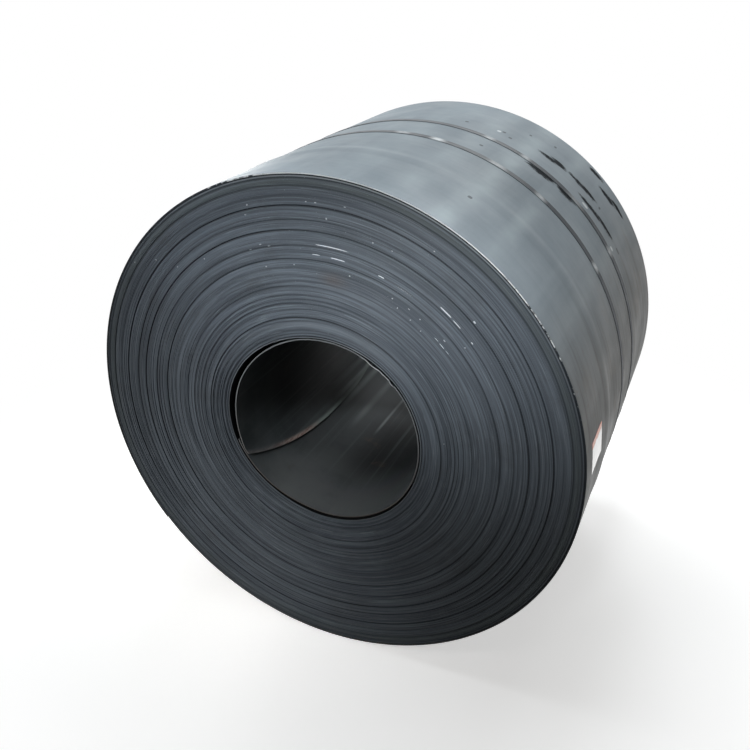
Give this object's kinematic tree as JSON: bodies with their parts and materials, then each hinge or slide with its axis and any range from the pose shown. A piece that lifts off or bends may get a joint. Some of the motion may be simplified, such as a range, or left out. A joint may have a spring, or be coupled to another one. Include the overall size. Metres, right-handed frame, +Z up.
{
  "type": "steel coil",
  "caption": "Coil of hot-rolled steel strip lying on its side, with an open bore, stepped turn edges on its ends, flat steel straps with seals round it and a plain paper label",
  "frame": {"origin": "on the floor, under the middle of the coil", "axes": "+Y along the bore from the front end to the rear end, +Z up, so that +X is to the right when looking at the front end"},
  "size_m": [1.3338, 1.023, 1.3338],
  "materials": {
    "strip": "mill scale, satin",
    "strap": "blued, satin",
    "seal": "zinc-plated, satin",
    "label": "matte"
  },
  "bodies": {
    "root": {"coil": "strip", "strap_middle": "strap", "strap_rear": "strap", "seal_middle": "seal", "seal_rear": "seal", "label": "label"}
  },
  "joints": []
}
